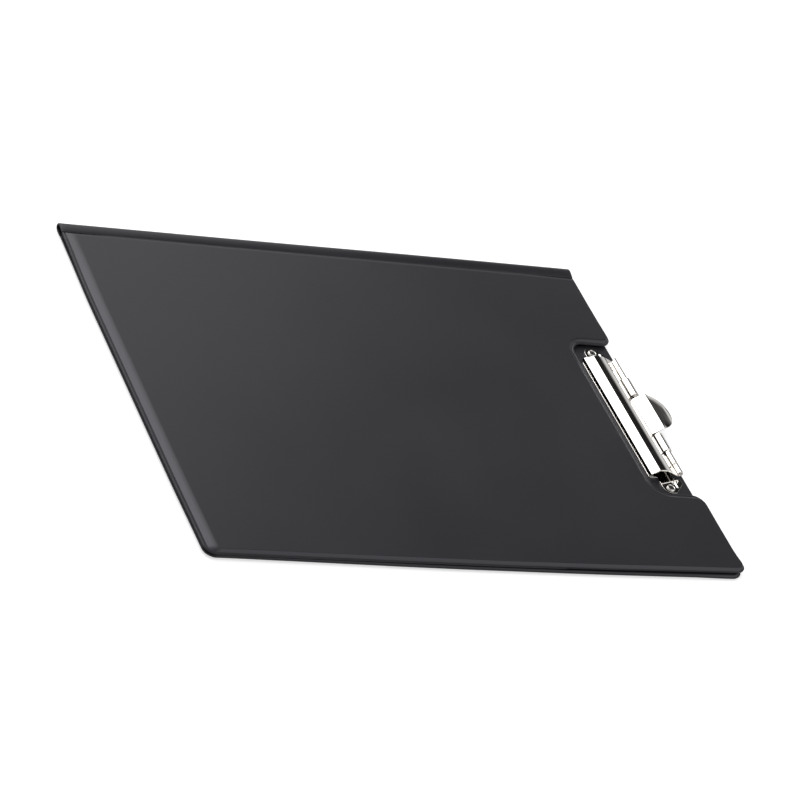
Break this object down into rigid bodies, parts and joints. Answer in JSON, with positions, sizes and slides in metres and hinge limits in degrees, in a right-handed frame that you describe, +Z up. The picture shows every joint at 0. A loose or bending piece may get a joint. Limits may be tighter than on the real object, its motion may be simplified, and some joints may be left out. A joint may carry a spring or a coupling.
{
  "type": "foldover clipboard",
  "caption": "Closed foldover clipboard with welded vinyl panels over board, a soft fold, a notch in the cover and a long sprung metal clip with a thumb tab.",
  "frame": {"origin": "middle of the closed outline on the table plane, at the underside of the back panel", "axes": "+X towards the head edge with the clip, +Y towards the fold, +Z up from the table"},
  "size_m": [0.3235, 0.237, 0.0111],
  "materials": {
    "vinyl": "satin, faintly specked",
    "greyboard": "matte",
    "nickel": "mirror bright plating",
    "spring_wire": "bright drawn wire"
  },
  "bodies": {
    "back": {"back_core": "greyboard", "back_outer_skin": "vinyl", "back_inner_skin": "vinyl", "clip_base": "nickel", "clip_rivets": "nickel", "clip_spring": "spring_wire"},
    "fold": {"fold_outer_skin": "vinyl", "fold_inner_skin": "vinyl"},
    "cover": {"cover_core": "greyboard", "cover_outer_skin": "vinyl", "cover_inner_skin": "vinyl", "cover_pocket": "vinyl"},
    "jaw": {"clip_jaw": "nickel", "clip_pin": "nickel"}
  },
  "joints": [
    {"name": "spine_fold", "type": "hinge", "parent": "back", "child": "fold", "pos_m": [0, 0.1177, 0.0012], "axis": [-1, 0, 0], "range_deg": [0, 180]},
    {"name": "cover_fold", "type": "hinge", "parent": "fold", "child": "cover", "pos_m": [0, 0.1177, 0.0043], "axis": [-1, 0, 0], "range_deg": [0, 180]},
    {"name": "jaw_open", "type": "hinge", "parent": "back", "child": "jaw", "pos_m": [0.1514, -0.0026, 0.00606], "axis": [0, 1, 0], "range_deg": [0, 30], "stiffness_Nm_per_rad": 0.3, "springref_deg": -28.65, "deforming": ["clip_spring"]}
  ],
  "couplings": [
    {"joint": "cover_fold", "follows": "spine_fold", "ratio": 1}
  ]
}
